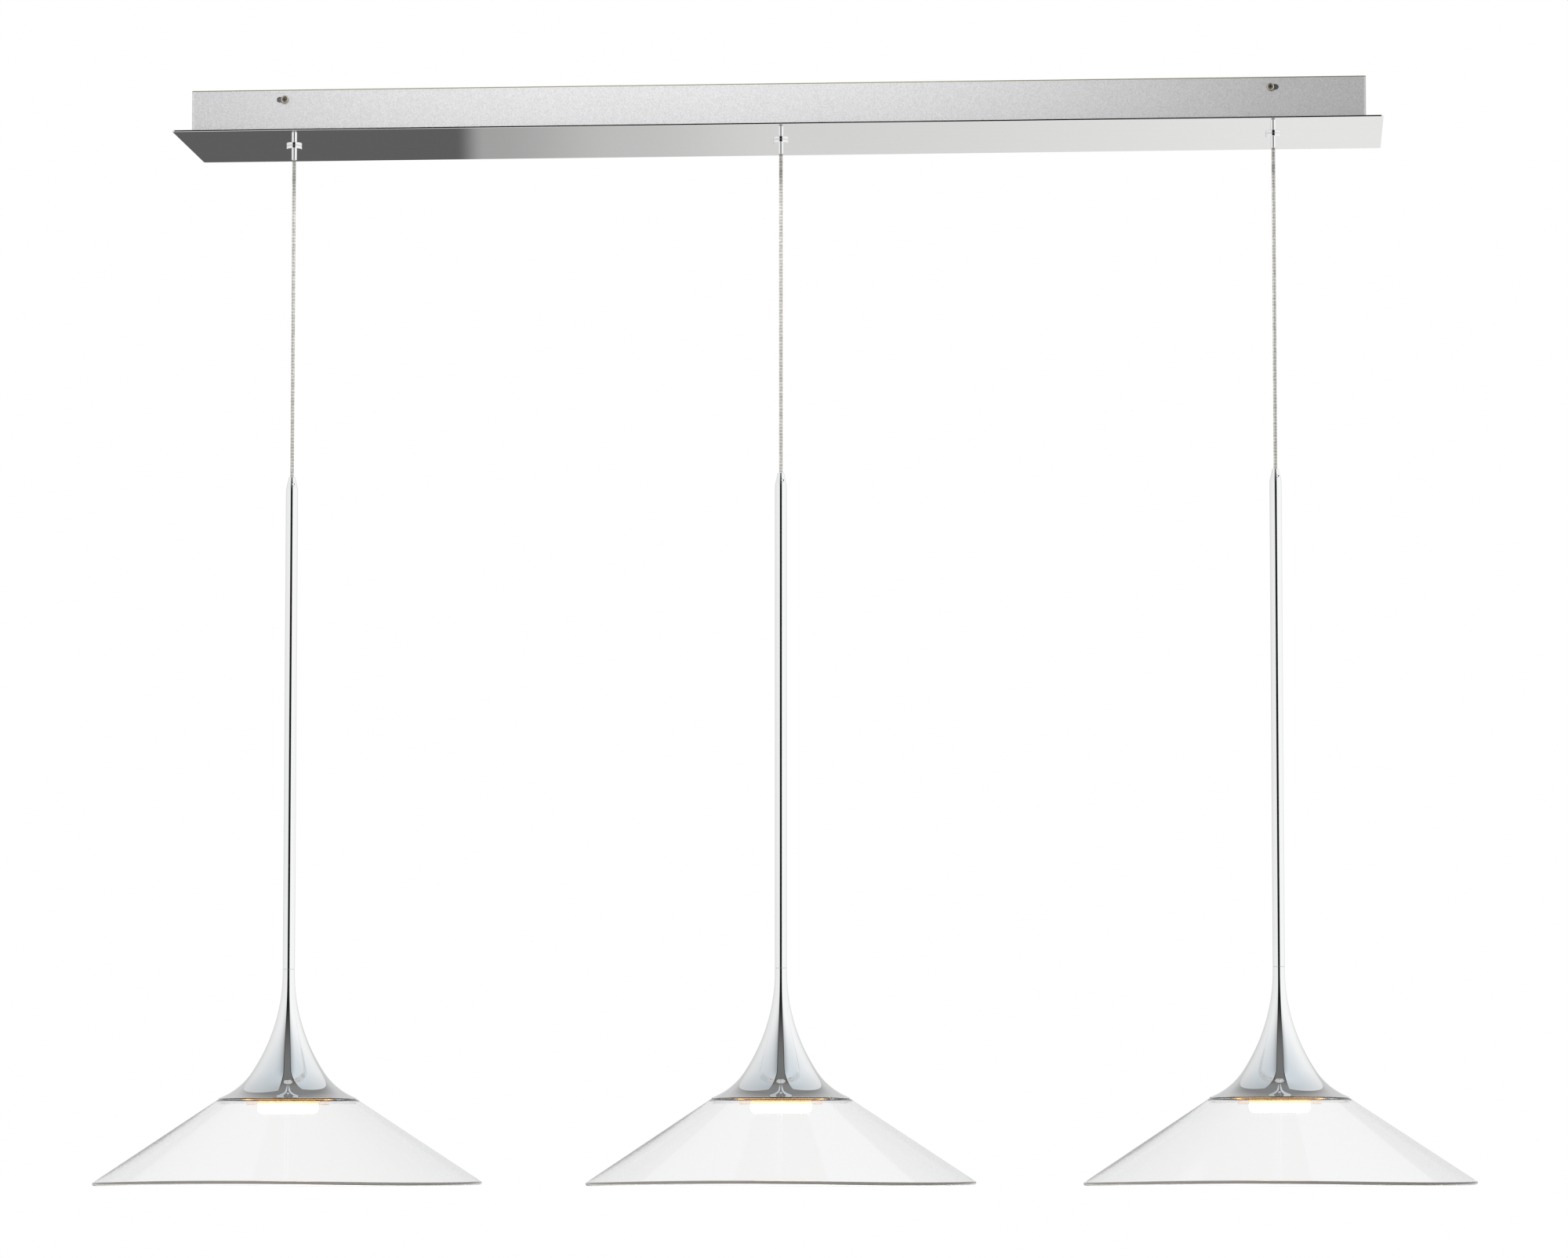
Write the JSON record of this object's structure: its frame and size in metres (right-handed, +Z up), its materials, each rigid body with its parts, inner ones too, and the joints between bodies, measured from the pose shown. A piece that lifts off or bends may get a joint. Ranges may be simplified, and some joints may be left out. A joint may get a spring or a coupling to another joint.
{
  "type": "linear pendant light",
  "caption": "Linear ceiling pendant: a chrome-plated canopy hangs trumpet-shaped chrome stems on gripped cables, each with a clear glass cone shade and a lit diffuser.",
  "frame": {"origin": "centre of the ceiling bracket, on the ceiling plane", "axes": "+Z up into the ceiling, +X along the canopy, -Y towards the viewer of the picture"},
  "size_m": [1.142, 0.322, 0.9059],
  "materials": {
    "polished_chrome": "polished chrome plate",
    "silver_paint": "fine metallic silver paint",
    "zinc_steel": "zinc plated steel",
    "spring_steel": "bright spring steel",
    "driver_case": "moulded white plastic",
    "cable_braid": "tinned braid under a clear jacket",
    "sink_aluminium": "turned aluminium",
    "board_white": "white coated lamp board",
    "opal_diffuser": "opal, lit warm white",
    "ring_acrylic": "clear moulded acrylic",
    "clear_silicone": "translucent silicone",
    "clear_glass": "clear blown glass with a polished rim"
  },
  "bodies": {
    "canopy": {"ceiling_bracket": "zinc_steel", "canopy_pan": "silver_paint", "canopy_plate": "polished_chrome", "canopy_side_screws": "zinc_steel", "canopy_nuts": "zinc_steel", "led_driver": "driver_case", "gripper_nuts": "zinc_steel", "cable_tails": "cable_braid", "cable_stops": "zinc_steel", "gripper_body_left": "polished_chrome", "gripper_spring_left": "spring_steel", "gripper_body_middle": "polished_chrome", "gripper_spring_middle": "spring_steel", "gripper_body_right": "polished_chrome", "gripper_spring_right": "spring_steel"},
    "plunger_left": {"gripper_plunger_left": "polished_chrome", "clutch_balls_left": "spring_steel"},
    "neck_left": {"cable_neck_left": "cable_braid"},
    "hang_left": {"cable_left": "cable_braid"},
    "pendant_left": {"stem_cap_left": "polished_chrome", "cap_screw_left": "polished_chrome", "stem_tube_left": "polished_chrome", "stem_nipple_left": "zinc_steel", "bell_left": "polished_chrome", "heat_sink_left": "sink_aluminium", "led_board_left": "board_white", "diffuser_left": "opal_diffuser", "bezel_ring_left": "ring_acrylic", "shade_gasket_left": "clear_silicone", "glass_shade_left": "clear_glass"},
    "plunger_middle": {"gripper_plunger_middle": "polished_chrome", "clutch_balls_middle": "spring_steel"},
    "neck_middle": {"cable_neck_middle": "cable_braid"},
    "hang_middle": {"cable_middle": "cable_braid"},
    "pendant_middle": {"stem_cap_middle": "polished_chrome", "cap_screw_middle": "polished_chrome", "stem_tube_middle": "polished_chrome", "stem_nipple_middle": "zinc_steel", "bell_middle": "polished_chrome", "heat_sink_middle": "sink_aluminium", "led_board_middle": "board_white", "diffuser_middle": "opal_diffuser", "bezel_ring_middle": "ring_acrylic", "shade_gasket_middle": "clear_silicone", "glass_shade_middle": "clear_glass"},
    "plunger_right": {"gripper_plunger_right": "polished_chrome", "clutch_balls_right": "spring_steel"},
    "neck_right": {"cable_neck_right": "cable_braid"},
    "hang_right": {"cable_right": "cable_braid"},
    "pendant_right": {"stem_cap_right": "polished_chrome", "cap_screw_right": "polished_chrome", "stem_tube_right": "polished_chrome", "stem_nipple_right": "zinc_steel", "bell_right": "polished_chrome", "heat_sink_right": "sink_aluminium", "led_board_right": "board_white", "diffuser_right": "opal_diffuser", "bezel_ring_right": "ring_acrylic", "shade_gasket_right": "clear_silicone", "glass_shade_right": "clear_glass"}
  },
  "joints": [
    {"name": "press_left", "type": "slide", "parent": "canopy", "child": "plunger_left", "axis": [0, 0, 1], "range_m": [0, 0.0025], "stiffness_N_per_m": 200, "springref_m": -0.003, "deforming": ["gripper_spring_left"]},
    {"name": "swing_front_left", "type": "hinge", "parent": "canopy", "child": "neck_left", "pos_m": [-0.41, 0, -0.0495], "axis": [1, 0, 0], "range_deg": [-30, 30]},
    {"name": "swing_side_left", "type": "hinge", "parent": "neck_left", "child": "hang_left", "pos_m": [-0.41, 0, -0.0615], "axis": [0, 1, 0], "range_deg": [-2.5, 2.5]},
    {"name": "height_left", "type": "slide", "parent": "hang_left", "child": "pendant_left", "axis": [0, 0, 1], "range_m": [0, 0.2], "deforming": ["cable_left"]},
    {"name": "press_middle", "type": "slide", "parent": "canopy", "child": "plunger_middle", "axis": [0, 0, 1], "range_m": [0, 0.0025], "stiffness_N_per_m": 200, "springref_m": -0.003, "deforming": ["gripper_spring_middle"]},
    {"name": "swing_front_middle", "type": "hinge", "parent": "canopy", "child": "neck_middle", "pos_m": [0, 0, -0.0495], "axis": [1, 0, 0], "range_deg": [-30, 30]},
    {"name": "swing_side_middle", "type": "hinge", "parent": "neck_middle", "child": "hang_middle", "pos_m": [0, 0, -0.0615], "axis": [0, 1, 0], "range_deg": [-2.5, 2.5]},
    {"name": "height_middle", "type": "slide", "parent": "hang_middle", "child": "pendant_middle", "axis": [0, 0, 1], "range_m": [0, 0.2], "deforming": ["cable_middle"]},
    {"name": "press_right", "type": "slide", "parent": "canopy", "child": "plunger_right", "axis": [0, 0, 1], "range_m": [0, 0.0025], "stiffness_N_per_m": 200, "springref_m": -0.003, "deforming": ["gripper_spring_right"]},
    {"name": "swing_front_right", "type": "hinge", "parent": "canopy", "child": "neck_right", "pos_m": [0.41, 0, -0.0495], "axis": [1, 0, 0], "range_deg": [-30, 30]},
    {"name": "swing_side_right", "type": "hinge", "parent": "neck_right", "child": "hang_right", "pos_m": [0.41, 0, -0.0615], "axis": [0, 1, 0], "range_deg": [-2.5, 2.5]},
    {"name": "height_right", "type": "slide", "parent": "hang_right", "child": "pendant_right", "axis": [0, 0, 1], "range_m": [0, 0.2], "deforming": ["cable_right"]}
  ]
}
